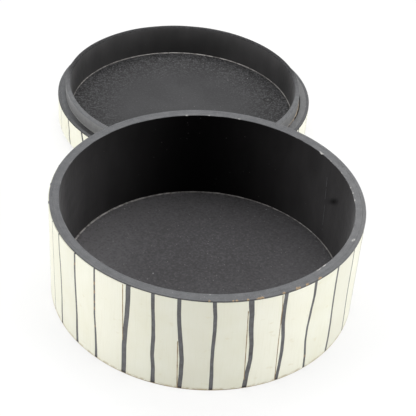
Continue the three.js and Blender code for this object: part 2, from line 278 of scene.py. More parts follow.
def wander(cut, share):
    """How far a cut strays to the right at shares of its height."""
    if "strays" in cut:
        stations = np.linspace(0, 1, len(cut["strays"]))
        return np.interp(share, stations, cut["strays"]) + 0.08 * ripple(share, cut["phase"], 0.12)
    smooth = cut["lean"] * (share - 0.5) + cut["bow"] * np.sin(np.pi * share)
    kinks = 0.45 * ripple(share, cut["phase"] + 0.3, 0.3)
    return smooth + CUT_RIPPLE * np.sin(3 * np.pi * share + cut["phase"]) + kinks


def cut_width(cut, share):
    """How wide a cut is at shares of its height."""
    if "widths" in cut:
        width = np.interp(share, [0, 0.4, 1], cut["widths"])
    else:
        width = cut["width"]
    return width * (1 + 0.08 * ripple(share, cut["phase"] + 7.3, 0.1))


def cut_edge(cut, share, side):
    """The angle of a cut's edge, side -1 for its left and 1 for its right."""
    return cut["angle"] + (wander(cut, share) + side * cut_width(cut, share) / 2) / OUTER_RADIUS


def varied_cut(index, angle):
    """A cut away from the front or on the lid, varied by its number."""
    return {
        "angle": angle,
        "width": CUT_WIDTH + CUT_WIDTH_SPREAD * math.sin(2.1 * index),
        "lean": CUT_LEAN_SPREAD * math.sin(2.7 * index + 1),
        "bow": CUT_BOW_SPREAD * math.sin(1.9 * index),
        "phase": index,
    }


def box_cuts():
    """The cuts round the box, from the front's left on."""
    cuts = []
    angle = FIRST_CUT_ANGLE
    for index, (strip, tone, strays, widths) in enumerate(FRONT_CUTS):
        angle += strip / OUTER_RADIUS
        cuts.append(dict(angle=angle, tone=tone, strays=strays, widths=widths, phase=index))
    step = (FIRST_CUT_ANGLE + 2 * math.pi - angle) / (STRIP_COUNT - len(cuts) + 1)
    while len(cuts) < STRIP_COUNT:
        angle += step
        cuts.append(varied_cut(len(cuts), angle))
    return cuts


def lid_cuts():
    """The cuts round the lid, evenly spaced but for a small shift."""
    step = 2 * math.pi / STRIP_COUNT
    shift = LID_CUT_SHIFT / OUTER_RADIUS
    cuts = [varied_cut(index, LID_CUT_ANGLE + index * step + shift * math.sin(2.3 * index))
            for index in range(STRIP_COUNT)]
    for index, (lean, width) in LID_FRONT_CUTS.items():
        cuts[index].update(lean=lean, width=width, bow=LID_FRONT_BOW)
    return cuts


def next_cut(cuts, index):
    """The cut after this one, a whole turn further on past the last."""
    turns, place = divmod(index + 1, len(cuts))
    return {**cuts[place], "angle": cuts[place]["angle"] + turns * 2 * math.pi}


# Materials: node trees that read object coordinates, in metres

def link(tree, socket, value):
    """Gives a socket another socket's value, or a fixed one, which for a colour is opaque."""
    if isinstance(value, bpy.types.NodeSocket):
        tree.links.new(value, socket)
    else:
        socket.default_value = (*value, 1) if socket.type == "RGBA" else value


def node(tree, kind, inputs=(), **settings):
    """A new shader node with its inputs, by name or number, and its settings."""
    made = tree.nodes.new("ShaderNode" + kind)
    for name, value in settings.items():
        setattr(made, name, value)
    for name, value in dict(inputs).items():
        link(tree, made.inputs[name], value)
    return made


def maths(tree, operation, a, b):
    """One operation on two numbers."""
    return node(tree, "Math", {0: a, 1: b}, operation=operation).outputs["Value"]


def times(tree, a, b):
    return maths(tree, "MULTIPLY", a, b)


def vector_maths(tree, operation, a, b=(0, 0, 0), result="Vector"):
    """One operation on one or two vectors."""
    return node(tree, "VectorMath", {0: a, 1: b}, operation=operation).outputs[result]


def ramp(tree, value, low, high, start=0.0, end=1.0):
    """A value stretched from low..high to start..end, and held there."""
    made = node(tree, "MapRange", {
        "Value": value, "From Min": low, "From Max": high, "To Min": start, "To Max": end})
    return made.outputs["Result"]


def mixed(tree, share, a, b):
    """Two colours mixed by a share."""
    return node(tree, "Mix", {0: share, 6: a, 7: b}, data_type="RGBA").outputs[2]


def layered(tree, colour, layers):
    """A colour under other colours, each of which covers it by a share."""
    for share, coat in layers:
        colour = mixed(tree, share, colour, coat)
    return colour


def painted(tree, name):
    """A mesh attribute with one value for each point."""
    return node(tree, "Attribute", attribute_name=name).outputs["Fac"]


def start_finish(name, roughness, **sockets):
    """A new material, with its tree and its object coordinates."""
    material = bpy.data.materials.new(name)
    material.use_nodes = True
    tree = material.node_tree
    inputs = tree.nodes["Principled BSDF"].inputs
    inputs["Roughness"].default_value = roughness
    for socket, value in sockets.items():
        inputs[socket.replace("_", " ")].default_value = value
    return material, tree, node(tree, "TexCoord").outputs["Object"]


def end_finish(material, colour, roughness=None, relief=None, depth=0.0):
    """The material with its colour, roughness where that varies, and relief of a depth in mm."""
    tree = material.node_tree
    inputs = tree.nodes["Principled BSDF"].inputs
    link(tree, inputs["Base Color"], colour)
    if roughness is not None:
        link(tree, inputs["Roughness"], roughness)
    if relief is not None:
        bump = node(tree, "Bump", {"Height": relief, "Distance": depth * MM})
        link(tree, inputs["Normal"], bump.outputs["Normal"])
    return material


def clouds(tree, place, size, detail=2.0, stretch=(1, 1, 1)):
    """Noise from 0 to 1 whose features have about this size in millimetres."""
    placed = node(tree, "Mapping", {"Vector": place, "Scale": [1 / s for s in stretch]})
    made = node(tree, "TexNoise", {
        "Vector": placed.outputs["Vector"], "Scale": 1 / (size * MM), "Detail": detail})
    return made.outputs["Fac"]


def streaks(tree, place, centre, across, along):
    """Noise drawn out round a centre, by its size across and along the turn in millimetres."""
    offset = vector_maths(tree, "SUBTRACT", place, Vector((*centre, 0)) * MM)
    flat = vector_maths(tree, "MULTIPLY", offset, (1, 1, 0))
    reach = vector_maths(tree, "LENGTH", flat, result="Value")
    heading = vector_maths(tree, "NORMALIZE", flat)
    made = node(tree, "TexNoise", {
        "Vector": heading, "Scale": OUTER_RADIUS / along, "Detail": 2.0,
        "W": times(tree, reach, along / (OUTER_RADIUS * across * MM))}, noise_dimensions="4D")
    return made.outputs["Fac"]


def specks(tree, place, spacing, size, amount):
    """Small dots in some of the cells of a grid: 1 inside a dot and 0 outside."""
    cells = node(tree, "TexVoronoi", {"Vector": place, "Scale": 1 / (spacing * MM)})
    dot = ramp(tree, cells.outputs["Distance"], size / spacing, 0.6 * size / spacing)
    parts = node(tree, "SeparateColor", {"Color": cells.outputs["Color"]})
    return times(tree, dot, maths(tree, "LESS_THAN", parts.outputs["Red"], amount))


def bone_finish():
    """Polished ivory-white bone: cloudy, with fine upright grain and a stained foot."""
    material, tree, place = start_finish("bone", 0.42, Specular_IOR_Level=0.3)
    tone = painted(tree, "tone")
    grain = clouds(tree, place, 0.5, 2, (1, 1, 24))
    blotch = clouds(tree, place, 4, 1, (1, 1, 0.6))
    patchy = ramp(tree, clouds(tree, place, 2, 2), 0.35, 0.6)
    colour = layered(tree, (0.8, 0.8, 0.69), [
        (ramp(tree, clouds(tree, place, 14, 3), 0.35, 0.7), (0.765, 0.757, 0.62)),
        (ramp(tree, tone, 0, 1, 0, 0.6), (0.88, 0.868, 0.75)),
        (ramp(tree, tone, 0, -1, 0, 0.6), (0.7, 0.69, 0.585)),
        (ramp(tree, grain, 0.5, 0.75, 0, 0.2), (0.68, 0.66, 0.5)),
        (ramp(tree, blotch, 0.68, 0.8, 0, 0.35), (0.66, 0.6, 0.4)),
        (times(tree, painted(tree, "stain"), patchy), (0.42, 0.33, 0.17)),
    ])
    return end_finish(material, colour, ramp(tree, grain, 0.3, 0.8, 0.38, 0.5), grain, 0.015)


def rim_finish(name, base, shade, centre=(0, 0)):
    """Dark grey resin or paint on the rims and in the cuts, worn to tan here and there, and mottled
    near black and rougher where deep says, most of it painted shade.
    """
    material, tree, place = start_finish(name, 0.5, Specular_IOR_Level=0.27)
    drawn = streaks(tree, place, centre, 0.3, 10)
    fine = clouds(tree, place, 0.5, 3)
    dust = specks(tree, place, 1.6, 0.2, 0.1)
    deep = painted(tree, "deep")
    mottle = ramp(tree, clouds(tree, place, 0.9, 3), 0.4, 0.56, 0.7, 0.95)
    worn = maths(tree, "ADD", painted(tree, "worn"), ramp(tree, fine, 0.3, 0.7, -0.35, 0.35))
    tan = mixed(tree, clouds(tree, place, 0.5), (0.2, 0.125, 0.06), (0.42, 0.31, 0.19))
    colour = layered(tree, base, [
        (ramp(tree, clouds(tree, place, 3, 3), 0.35, 0.65), shade),
        (ramp(tree, drawn, 0.52, 0.72, 0, 0.3), (0.18, 0.18, 0.19)),
        (ramp(tree, drawn, 0.46, 0.3, 0, 0.28), (0.055, 0.055, 0.06)),
        (ramp(tree, fine, 0.58, 0.75, 0, 0.6), (0.24, 0.24, 0.25)),
        (times(tree, dust, 0.5), (0.34, 0.34, 0.35)),
        # pale: scratches on the box's rim, and painted light down the collar's outside
        (painted(tree, "pale"), (0.5, 0.49, 0.47)),
        # painted shade, most of it: mottled near black where deep says
        (times(tree, deep, mottle), (0.02, 0.019, 0.02)),
        (ramp(tree, worn, 0.45, 0.7), tan),
    ])
    relief = clouds(tree, place, 1.2, 2)
    rough = maths(tree, "MAXIMUM", ramp(tree, relief, 0.3, 0.7, 0.42, 0.56), times(tree, deep, 0.9))
    return end_finish(material, colour, rough, relief, 0.03)


def lacquer_finish(name, base, painted_sheen_colour, level, sheen):
    """Near-black satin lacquer with fine dust, whose sheen shows most at a low angle, and painted
    sheen: a lighter cloudy colour where the haze attribute says.
    """
    material, tree, place = start_finish(
        name, 0.42, Specular_IOR_Level=level, Sheen_Weight=sheen, Sheen_Roughness=0.3)
    cloud = ramp(tree, clouds(tree, place, 9, 4, (1, 1, 2.5)), 0.35, 0.7, 0.75, 1)
    dust = specks(tree, place, 3.2, 0.3, 0.3)
    colour = layered(tree, base, [
        # painted sheen: a lighter cloudy colour where the wall is to look lit at a low angle
        (times(tree, cloud, painted(tree, "haze")), painted_sheen_colour),
        (painted(tree, "spot"), (0.001, 0.001, 0.001)),
        (times(tree, dust, 0.3), (0.12, 0.11, 0.11)),
    ])
    relief = clouds(tree, place, 1.4, 3, (1, 1, 3))
    return end_finish(material, colour, ramp(tree, relief, 0.3, 0.7, 0.38, 0.5), relief, 0.04)


def flawed(tree, place, colour, degrees, reach, size):
    """A pale dot on the lid's board, with a darker ring round it when it is over 1 mm."""
    turn = math.radians(degrees)
    spot = Vector((*LID_CENTRE, BOARD_TOP)) + reach * Vector((math.cos(turn), math.sin(turn), 0))
    away = times(tree, vector_maths(tree, "DISTANCE", place, spot * MM, "Value"), 1 / MM)
    if size > 1:
        inside = ramp(tree, away, size * 0.55, size * 0.8, 0, 0.8)
        ring = times(tree, inside, ramp(tree, away, size * 1.35, size * 1.05))
        colour = mixed(tree, ring, colour, (0.01, 0.01, 0.01))
    return mixed(tree, ramp(tree, away, 0.55, 0.3, 0, 0.45), colour, (0.3, 0.29, 0.28))


def board_finish(name, base, dusty, dust_size, grain, flaws=()):
    """Matt charcoal paint flecked with dust, its tooth as strong as given inside and at the edge."""
    material, tree, place = start_finish(name, 0.78, Specular_IOR_Level=0.34)
    edge = painted(tree, "edge")
    blotch = clouds(tree, place, 2.4, 3)
    tooth = clouds(tree, place, 1, 2)
    amount = ramp(tree, edge, 0, 1, *grain)
    gathered = ramp(tree, clouds(tree, place, 10, 2), 0.38, 0.62, 0.05, 0.42)
    dust = specks(tree, place, 1.7, dust_size, gathered)
    fluff = specks(tree, place, 6, 0.45, 0.2)
    colour = layered(tree, base, [
        (ramp(tree, clouds(tree, place, 22, 3), 0.3, 0.75), dusty),
        # dusty: dust, and on the floor painted light towards its front
        (painted(tree, "dusty"), (0.3, 0.29, 0.3)),
        # darker and blotchy towards the edge, by the edge attribute
        (times(tree, edge, ramp(tree, blotch, 0.42, 0.56)), (0.012, 0.0115, 0.012)),
        (times(tree, edge, ramp(tree, blotch, 0.42, 0.3, 0, 0.5)), (0.11, 0.11, 0.112)),
        (times(tree, amount, ramp(tree, tooth, 0.5, 0.72)), (0.14, 0.14, 0.145)),
        (times(tree, amount, ramp(tree, tooth, 0.48, 0.3)), (0.025, 0.024, 0.025)),
        (times(tree, dust, 0.5), (0.3, 0.29, 0.29)),
        (times(tree, fluff, 0.8), (0.36, 0.36, 0.37)),
    ])
    for flaw in flaws:
        colour = flawed(tree, place, colour, *flaw)
    return end_finish(material, colour, relief=tooth, depth=0.05)


def glue_finish():
    """Old glue in the hairline joints and along the foot, paler where the pale attribute says, which
    on the foot is painted light at its sides.
    """
    material, tree, place = start_finish("joint_glue", 0.6)
    colour = layered(tree, (0.2, 0.125, 0.055), [
        (ramp(tree, clouds(tree, place, 2.5, 3), 0.35, 0.65), (0.42, 0.32, 0.18)),
        (painted(tree, "pale"), (0.74, 0.7, 0.56)),
    ])
    return end_finish(material, colour)


def seam_finish(name, dark, pale):
    """Dusty filler in a joint, paler in some places."""
    material, tree, place = start_finish(name, 0.7)
    uneven = times(tree, ramp(tree, clouds(tree, place, 2, 4), 0.36, 0.6), painted(tree, "bright"))
    return end_finish(material, mixed(tree, uneven, dark, pale))


BONE = bone_finish()
RIM = rim_finish("rim_grey", (0.113, 0.115, 0.12), (0.088, 0.09, 0.095))
LID_RIM = rim_finish("lid_rim_grey", (0.119, 0.122, 0.127), (0.096, 0.098, 0.102), LID_CENTRE)
RESIN = rim_finish("black_resin", (0.128, 0.128, 0.135), (0.093, 0.091, 0.093))
LACQUER = lacquer_finish("black_lacquer", base=(0.0008, 0.0007, 0.0008), painted_sheen_colour=(0.051, 0.049, 0.05),
                         level=0.05, sheen=0.2)
LID_LACQUER = lacquer_finish("lid_lacquer", base=(0.004, 0.004, 0.004), painted_sheen_colour=(0.085, 0.083, 0.084),
                             level=0.17, sheen=0.15)
FLOOR_PAINT = board_finish("charcoal_floor", base=(0.0375, 0.0355, 0.038),
                           dusty=(0.048, 0.046, 0.0495), dust_size=0.3, grain=(0.35, 0.5))
PANEL_PAINT = board_finish("charcoal_panel", base=(0.032, 0.032, 0.0335),
                           dusty=(0.047, 0.047, 0.049), dust_size=0.2, grain=(0.12, 0.9),
                           flaws=[RING_FLAW, PALE_FLAW])
GLUE = glue_finish()
FILLER = seam_finish("seam_filler", (0.1, 0.094, 0.09), (0.5, 0.48, 0.46))
TAN_FILLER = seam_finish("joint_filler", (0.09, 0.088, 0.088), (0.4, 0.33, 0.25))


# Pieces, and where wear, haze and dust show on them, from 0 to 1

def add_object(name, data):
    """A new object in the scene."""
    made = bpy.data.objects.new(name, data)
    bpy.context.scene.collection.objects.link(made)
    return made


def add_piece(name, shape, body, slot, materials, replaces=(), bevel=0.0, **attributes):
    """A piece in place in the frame, which rides on a body and stands for CAD nodes."""
    points, faces = shape
    mesh = bpy.data.meshes.new(name)
    mesh.from_pydata((points * MM).tolist(), [], faces)
    mesh.update()
    mesh.shade_smooth()
    mesh.set_sharp_from_angle(angle=SHARP_ANGLE)
    for material in materials:
        mesh.materials.append(material)
    for attribute, values in attributes.items():
        layer = mesh.attributes.new(attribute, "FLOAT", "POINT")
        layer.data.foreach_set("value", np.broadcast_to(values, len(points)).astype(np.float32))
    piece = add_object(name, mesh)
    if bevel:
        edges = piece.modifiers.new("edges", "BEVEL")
        edges.width = bevel * MM
        edges.segments = 2
        edges.limit_method = "ANGLE"
        edges.angle_limit = math.radians(50)
        edges.harden_normals = True
    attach(piece, body)
    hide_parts(*replaces)
    return piece


def use_second_material(piece, chosen):
    """Gives the piece's second material to the faces whose middles are chosen."""
    middles = np.array([face.center for face in piece.data.polygons]) / MM
    for face, pick in zip(piece.data.polygons, chosen(middles)):
        face.material_index = int(pick)


def reach_of(points, centre=(0, 0)):
    """Distances from an upright axis."""
    return np.hypot(points[:, 0] - centre[0], points[:, 1] - centre[1])


def degrees_round(points, centre=(0, 0)):
    """Directions from an upright axis."""
    return np.degrees(np.arctan2(points[:, 1] - centre[1], points[:, 0] - centre[0]))


def degrees_from(points, degrees, centre=(0, 0)):
    """How many degrees points lie from a direction, either way round an upright axis."""
    return np.abs((degrees_round(points, centre) - degrees + 180) % 360 - 180)


def on_side(points, degrees, share, width, centre=(0, 0)):
    """From a share on one side of a body down to 0 over some degrees, and 1 at most."""
    return np.clip(share - degrees_from(points, degrees, centre) / width, 0, 1)


def along_wall(points, degrees, radius):
    """Distances from a direction, measured round a wall."""
    return np.radians(degrees_from(points, degrees)) * radius


def mark(along, across, length, width, strength=1.0):
    """How strongly an oval mark shows at distances along and across it."""
    return np.clip(strength - np.hypot(along / length, across / width), 0, 1)


def roughen(points, centre, amount, size):
    """Moves points in and out by smooth noise, as on hand-finished work."""
    for point in points:
        offset = point[:2] - centre
        shift = amount * noise.noise(Vector((*offset, point[2] * 2)) / size)
        point[:2] += offset / max(np.hypot(*offset), 1) * shift
        point[2] += 0.5 * shift


def chip_edge(points, radius, height):
    """Presses the chips into the rim's inner edge."""
    from_edge = np.hypot(reach_of(points) - radius, points[:, 2] - height)
    for degrees, size in RIM_CHIPS:
        bite = mark(along_wall(points, degrees, radius), from_edge, size, 0.8 * size)
        points[:, 2] -= CHIP_DEPTH * size * bite


def wall_shape():
    """The turned wall: its inner top edge is rounded over, and its outer one meets the band."""
    outer = BONE_INNER_RADIUS - JOINT
    profile = [[BORE_RADIUS, 0], [outer, 0], [outer, BOX_HEIGHT / 2]]
    profile += round_corner(outer - 0.05, BOX_HEIGHT - 0.05, 0.05, 0, 2)
    profile += [[radius, BOX_HEIGHT] for radius in np.linspace(outer - 0.4, BORE_RADIUS + 0.9, 6)]
    profile += round_corner(BORE_RADIUS + 0.5, BOX_HEIGHT - 0.5, 0.5, 90, 5)
    profile += [[BORE_RADIUS, height] for height in np.linspace(BOX_HEIGHT - 0.8, 0, 40)[:-1]]
    points, faces = turned(profile, 2 * SEGMENTS)
    inside = reach_of(points) < BORE_RADIUS + 0.6
    bore = points[inside]
    roughen(bore, np.zeros(2), 0.08, 9)
    points[inside] = bore
    chip_edge(points, BORE_RADIUS, BOX_HEIGHT)
    return points, faces


def board_shape(radius, low, high, centre=(0, 0)):
    """A painted disc, a little uneven, with a softened edge."""
    profile = [[0, low], [radius, low], [radius, high - 0.2], [radius - 0.2, high]]
    profile += [[radius * share, high] for share in np.linspace(0.98, 0.05, 24)]
    profile += [[0, high]]
    points, faces = turned(profile, SEGMENTS // 2, centre)
    for point in points:
        if point[2] > high - 0.01:
            point[2] += 0.05 * noise.noise(Vector(point) / 16) - 0.02
    return points, faces


def floor_dust_and_painted_light(points):
    """How much paler the floor is: dust in its middle and round its edge, most at the left, and
    painted light towards its front, where the front wall shades it.
    """
    turn = np.radians(degrees_round(points))
    share = reach_of(points) / FLOOR_RADIUS
    uneven = np.clip(0.6 - 0.7 * np.cos(turn) + 0.05 * np.sin(turn), 0, 2)
    front = 0.5 - 0.5 * np.sin(turn)
    middle = 0.065 * np.clip(1 - share / 0.42, 0, 1)
    return middle + (0.04 + 0.27 * front + 0.04 * np.cos(turn)) * share + 0.26 * share ** 2.5 * uneven


def near_edge(points, radius, depth, centre=(0, 0)):
    """From 0 away from a round edge to 1 on it."""
    return np.clip(1 - (radius - reach_of(points, centre)) / depth, 0, 1)


def bead_shape(radius, height, centre, thickness, seed, heavy, heavy_side):
    """A thin uneven bead that runs round a corner, heavier by a share on one side."""
    angles = 2 * np.pi * np.arange(12) / 12
    profile = [[radius + thickness * math.cos(a), height + thickness * math.sin(a)] for a in angles]
    points, faces = turned(profile, SEGMENTS, centre)
    for point in points:
        along = math.atan2(point[1] - centre[1], point[0] - centre[0])
        side, ahead = math.cos(along), math.sin(along)
        swell = 0.4 * noise.noise(Vector((8 * side, 8 * ahead, seed)))
        swell += heavy * math.cos(along - math.radians(heavy_side))
        point += swell * (point - [centre[0] + radius * side, centre[1] + radius * ahead, height])
    return points, faces


def rim_inset(turn):
    """How far the rim's band stands in from the bone, by degrees round the box."""
    return RIM_INSET * np.clip(0.2 + 1.2 * np.cos(np.radians(turn - INSET_SIDE)), 0, 1)


def under_band(height, angle, gap):
    """The heights of a grid whose top row follows the foot of the rim's band."""
    level = np.broadcast_to(height, angle.shape).copy()
    level[-1] = BAND_FOOT + INSET_RISE * rim_inset(np.degrees(angle[-1])) - gap
    return level


def set_in(points, inset, centre=(0, 0)):
    """Moves the outer side of a band in from the face of the bone."""
    reach = reach_of(points, centre)
    share = inset / reach * (reach > OUTER_RADIUS - 0.3)
    points[:, :2] -= (points[:, :2] - centre) * share[:, None]


def strip_shape(left, right):
    """A bone strip from the cut on its left to the cut on its right."""
    share = np.linspace(strip_low[2], strip_high[2], 41) / BOX_HEIGHT
    share[0] = (FOOT_BAND_HEIGHT + JOINT) / BOX_HEIGHT
    share[-1] = (BAND_FOOT - JOINT) / BOX_HEIGHT
    start = cut_edge(left, share, 1) + JOINT / OUTER_RADIUS
    end = cut_edge(right, share, -1) - JOINT / OUTER_RADIUS
    across = np.linspace(0, 1, 13)
    angle = start[:, None] + np.outer(end - start, across)
    height = under_band((share * BOX_HEIGHT)[:, None], angle, JOINT)
    face = OUTER_RADIUS + 0.03 * np.outer(ripple(share, left["phase"] + 2.7, 0.25), 1 - across)
    return slab(polar(face - 0.03, angle, height), polar(BONE_INNER_RADIUS, angle, height))


def line_shape(cut):
    """The resin in a cut, rubbed just below the bone."""
    share = np.linspace(0, BAND_FOOT, 61) / BOX_HEIGHT
    start, end = cut_edge(cut, share, -1), cut_edge(cut, share, 1)
    across = np.array([0, 0.12, 0.3, 0.5, 0.7, 0.88, 1])
    angle = start[:, None] + np.outer(end - start, across)
    hollow = 0.1 * across * (1 - across)
    face = OUTER_RADIUS - 0.04 - hollow - 0.015 * ripple(share, cut["phase"] + 5.1, 0.05)[:, None]
    height = under_band((share * BOX_HEIGHT)[:, None], angle, 0)
    return slab(polar(face, angle, height), polar(BONE_INNER_RADIUS, angle, height))


def band_shape(low, high, centre=(0, 0), soft_low=False):
    """The resin ring that frames the strips, with its outer edge rubbed round."""
    soft = 0.12
    if soft_low:
        edge = [*round_corner(OUTER_RADIUS - soft, low + soft, soft, -90, 3), [OUTER_RADIUS, high]]
    else:
        edge = [[OUTER_RADIUS, low], *round_corner(OUTER_RADIUS - soft, high - soft, soft, 0, 3)]
    return turned([[BONE_INNER_RADIUS, low], *edge, [BONE_INNER_RADIUS, high]], 2 * SEGMENTS, centre)


def ribbon_shape(route, width, radius, inward=False):
    """A hairline along a [degrees, height] route on the outside or inside of a wall."""
    turn, height = np.array(route).T
    stations = np.linspace(0, 1, 24)
    knots = np.linspace(0, 1, len(route))
    middle = np.radians(np.interp(stations, knots, turn))
    level = np.interp(stations, knots, height)[:, None]
    half = width / 2 / radius * (1 + 0.35 * ripple(stations, turn[0], 0.15))
    angle = middle[:, None] + np.outer(half, [-1, 0, 1])
    outer, inner = (0.3, -0.02) if inward else (0.01, -0.3)
    return slab(polar(radius + outer, angle, level), polar(radius + inner, angle, level))


def rim_scratches(points):
    """Bare pale scratches on the rim and its worn inner edge, and the rim a little paler towards its
    right.
    """
    reach = reach_of(points)
    pale = 0.075 * on_side(points, 0, 1.2, 50)
    edge = reach < BORE_RADIUS + 0.4
    pale += np.clip(0.25 * ripple(degrees_round(points), 3.3, 4), 0, 1) * edge
    for degrees, radius, length in RIM_SCRATCHES:
        along = along_wall(points, degrees, radius)
        shown = mark(along, reach - radius, length, RIM_SCRATCH_WIDTH, 1.4)
        pale = np.maximum(pale, shown * (points[:, 2] > BOX_HEIGHT - 1.2))
    return pale


def rim_wear(points):
    """Where the rim's outer edge is worn to the wood."""
    worn = np.max([mark(along_wall(points, degrees, OUTER_RADIUS), 0, size, 1, 1.5)
                   for degrees, size in WORN_SPOTS], axis=0)
    return worn * (reach_of(points) > OUTER_RADIUS - 0.15) * (points[:, 2] > BOX_HEIGHT - 0.3)


def wall_haze(points):
    """Painted sheen on the inner wall, lighter to both sides as where light grazes it, and none at
    its back and front.
    """
    away = degrees_from(points, UNLIT_SIDE)
    return np.clip(np.minimum(away, 180 - away) / 64, 0, 1) ** 1.8


def wall_spot(points):
    """A dark spot on the inner wall."""
    degrees, height = WALL_SPOT
    along = np.radians(degrees_round(points) - degrees) * BORE_RADIUS
    across = points[:, 2] - height + WALL_SPOT_LEAN * along
    return mark(along, across, WALL_SPOT_LENGTH, WALL_SPOT_WIDTH)


def line_dark_and_painted_shade(points):
    """Darker on the edges of each line and in a pit, and near black at its foot as painted
    shade.
    """
    column = np.arange(len(points)) % LINE_COLUMNS
    sides = 0.6 * np.isin(column, (0, LINE_COLUMNS - 1))
    degrees, height, size = LINE_PIT
    along = along_wall(points, degrees, OUTER_RADIUS)
    pit = 0.7 * mark(along, points[:, 2] - height, size, size, 1.3)
    return np.maximum.reduce([sides, pit, np.clip(1.7 - points[:, 2], 0, 1)])


def line_wear(points):
    """Where the resin is worn to the wood under it."""
    return np.max([mark(along_wall(points, degrees, OUTER_RADIUS), points[:, 2] - height,
                        LINE_WEAR_WIDTH, size, 1.3) for degrees, height, size in LINE_WEAR], axis=0)


def add_wall():
    """The box's wall, lacquered inside with painted sheen to its sides, grey on its rim, and the
    scratches down it.
    """
    shape = wall_shape()
    points = shape[0]
    wall = add_piece("wall", shape, "box", "black_lacquer", [LACQUER, RIM], ["box_wall"],
                     pale=rim_scratches(points), spot=wall_spot(points), haze=wall_haze(points))
    use_second_material(
        wall, lambda at: (at[:, 2] > BOX_HEIGHT - 2) & (reach_of(at) > BORE_RADIUS + 0.1))
    for index, route in enumerate(WALL_SCRATCHES):
        scratch = ribbon_shape(route, WALL_SCRATCH_WIDTH, BORE_RADIUS, True)
        add_piece(f"wall_scratch_{index + 1}", scratch, "box", "black_lacquer", [RIM])


def add_floor():
    shape = board_shape(FLOOR_RADIUS, 0, FLOOR_TOP)
    add_piece("floor", shape, "box", "charcoal_paint", [FLOOR_PAINT], ["box_floor"],
              edge=0.4 * near_edge(shape[0], FLOOR_RADIUS, 4), dusty=floor_dust_and_painted_light(shape[0]))
    seam = bead_shape(FLOOR_RADIUS + 0.15, FLOOR_TOP - 0.05, (0, 0), **FLOOR_SEAM)
    add_piece("floor_seam", seam, "box", "charcoal_paint", [FILLER], bright=0.55)


def add_rim_band():
    shape = band_shape(BAND_FOOT, BOX_HEIGHT)
    points = shape[0]
    worn = rim_wear(points)
    # Painted shade: the band's side, below its top edge, is darker.
    deep = 0.5 * (points[:, 2] < BOX_HEIGHT - 0.05)
    inset = rim_inset(degrees_round(points))
    points[:, 2] += INSET_RISE * inset * (points[:, 2] < BOX_HEIGHT - BAND_HEIGHT / 2)
    set_in(points, inset)
    add_piece("rim_band", shape, "box", "black_resin", [RIM], worn=worn, deep=deep,
              pale=rim_scratches(points))


def add_foot_edge():
    shape = band_shape(0, FOOT_BAND_HEIGHT, soft_low=True)
    # Painted light: the foot turns pale away from the front, at the sides the lamps light.
    from_front = degrees_from(shape[0], -88)
    add_piece("foot_edge", shape, "box", "black_resin", [GLUE],
              pale=np.clip((from_front - 15) / 30, 0, 0.85))


def add_resin_lines(cuts):
    shape = joined([line_shape(cut) for cut in cuts])
    add_piece("resin_lines", shape, "box", "black_resin", [RESIN], ["box_resin_lines"],
              worn=line_wear(shape[0]), deep=line_dark_and_painted_shade(shape[0]))


def add_strips(cuts):
    """The bone strips round the box, stained along their foot, toned darker away from the front as
    painted shade.
    """
    for index, cut in enumerate(cuts):
        after = next_cut(cuts, index)
        shape = strip_shape(cut, after)
        tone = after.get("tone", SIDE_PAINTED_SHADE + SIDE_TONE_SPREAD * math.sin(5.3 * index))
        stain = 0.8 * np.clip(1 - (shape[0][:, 2] - FOOT_BAND_HEIGHT) / 1.3, 0, 1)
        number = f"{index + 1:02d}"
        add_piece(f"strip_{number}", shape, "box", "bone", [BONE], [f"box_bone_strip_{number}"],
                  bevel=BONE_BEVEL, tone=tone, stain=stain)


def add_hairlines():
    for index, route in enumerate(HAIRLINES):
        shape = ribbon_shape(route, HAIRLINE_WIDTH, OUTER_RADIUS)
        add_piece(f"hairline_{index + 1}", shape, "box", "bone", [GLUE])


# Lid, upside down: its top face is at height 0 and its collar stands up

def filler_width(turn):
    """How wide the filler between collar and ring is, by degrees round the lid."""
    return FILLER_WIDTH * np.clip((turn - FILLER_START) * (FILLER_END - turn) / 500, 0, 1)


def filler_shape():
    """Filler along the joint between collar and ring."""
    turn = np.linspace(FILLER_START, FILLER_END, 120)
    width = filler_width(turn) * (0.9 + 0.25 * ripple(turn, 6.2, 2))
    height = np.array([[LID_HEIGHT - 1], [LID_HEIGHT - 0.12], [LID_HEIGHT + 0.02]])
    angle = np.radians(turn) * np.ones((3, 1))
    outer = polar(COLLAR_RADIUS + np.array([[1], [1], [0.6]]) * width, angle, height, LID_CENTRE)
    return slab(outer, polar(COLLAR_RADIUS - 0.2, angle, height, LID_CENTRE))


def ring_shape():
    """The side ring, closed up to the collar but for the filler and a crack."""
    outer = BONE_INNER_RADIUS - JOINT
    inner = COLLAR_RADIUS + 0.02
    profile = [[inner, RING_FOOT], [outer, RING_FOOT]]
    profile += round_corner(outer - 0.05, LID_HEIGHT - 0.05, 0.05, 0, 2)
    profile += [[radius, LID_HEIGHT] for radius in np.linspace(outer - 0.5, inner + 0.4, 4)]
    profile += round_corner(inner + 0.1, LID_HEIGHT - 0.1, 0.1, 90, 2)
    points, faces = turned(profile, 2 * SEGMENTS, LID_CENTRE)
    reach = reach_of(points, LID_CENTRE)
    turn = degrees_round(points, LID_CENTRE)
    side = ((reach - inner) / (outer - inner))[:, None]
    crack = CRACK_WIDTH * np.clip((turn - CRACK_START) * (CRACK_END - turn) / 80, 0, 1)
    gap = filler_width(turn) + crack * (0.8 + 0.2 * ripple(turn, 4.5, 3))
    points[:, :2] += (points[:, :2] - LID_CENTRE) * (1 - side) * (gap / reach)[:, None]
    points[:, :2] += np.clip(side, 0, 1) * RING_OFFSET
    return points, faces


